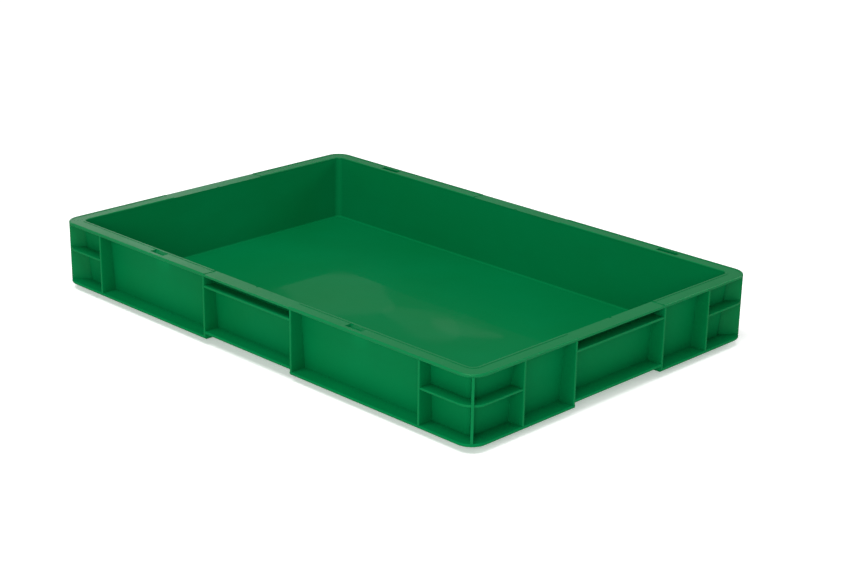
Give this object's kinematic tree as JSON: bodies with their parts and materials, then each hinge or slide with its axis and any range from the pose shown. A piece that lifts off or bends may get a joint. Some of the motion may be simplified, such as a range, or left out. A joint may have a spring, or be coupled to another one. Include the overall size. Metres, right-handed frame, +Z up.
{
  "type": "stacking plastic crate",
  "caption": "Shallow green plastic stacking crate with a flat floor, closed leaning walls, a wide flat rim, upright outer ribs and finger recesses in the middle of every side.",
  "frame": {"origin": "centre of the footprint, at the level of the foot the crate stands on", "axes": "+X along the 600 mm length, +Y across the 400 mm width towards the side with the outer pair of slots, +Z up out of the mouth"},
  "size_m": [0.6, 0.4, 0.075],
  "materials": {
    "green_polypropylene": "semi-gloss moulded polypropylene, mid green"
  },
  "bodies": {
    "root": {"base_back_left": "green_polypropylene", "base_back_middle": "green_polypropylene", "base_back_right": "green_polypropylene", "base_front_left": "green_polypropylene", "base_front_middle": "green_polypropylene", "base_front_right": "green_polypropylene", "base_left_back": "green_polypropylene", "base_left_front": "green_polypropylene", "base_left_middle": "green_polypropylene", "base_right_back": "green_polypropylene", "base_right_front": "green_polypropylene", "base_right_middle": "green_polypropylene", "belt_back_left": "green_polypropylene", "belt_back_right": "green_polypropylene", "belt_front_left": "green_polypropylene", "belt_front_right": "green_polypropylene", "belt_left_back": "green_polypropylene", "belt_left_front": "green_polypropylene", "belt_right_back": "green_polypropylene", "belt_right_front": "green_polypropylene", "corner_rib_back_left": "green_polypropylene", "corner_rib_back_right": "green_polypropylene", "corner_rib_front_left": "green_polypropylene", "corner_rib_front_right": "green_polypropylene", "corner_wall_back_left": "green_polypropylene", "corner_wall_back_right": "green_polypropylene", "corner_wall_front_left": "green_polypropylene", "corner_wall_front_right": "green_polypropylene", "floor_panel": "green_polypropylene", "grip_back": "green_polypropylene", "grip_front": "green_polypropylene", "grip_left": "green_polypropylene", "grip_right": "green_polypropylene", "rib_back_1": "green_polypropylene", "rib_back_2": "green_polypropylene", "rib_back_3": "green_polypropylene", "rib_back_4": "green_polypropylene", "rib_front_1": "green_polypropylene", "rib_front_2": "green_polypropylene", "rib_front_3": "green_polypropylene", "rib_front_4": "green_polypropylene", "rib_left_1": "green_polypropylene", "rib_left_2": "green_polypropylene", "rib_left_3": "green_polypropylene", "rib_left_4": "green_polypropylene", "rib_right_1": "green_polypropylene", "rib_right_2": "green_polypropylene", "rib_right_3": "green_polypropylene", "rib_right_4": "green_polypropylene", "rim_back": "green_polypropylene", "rim_front": "green_polypropylene", "rim_left": "green_polypropylene", "rim_right": "green_polypropylene", "wall_back": "green_polypropylene", "wall_front": "green_polypropylene", "wall_left": "green_polypropylene", "wall_right": "green_polypropylene"}
  },
  "joints": []
}
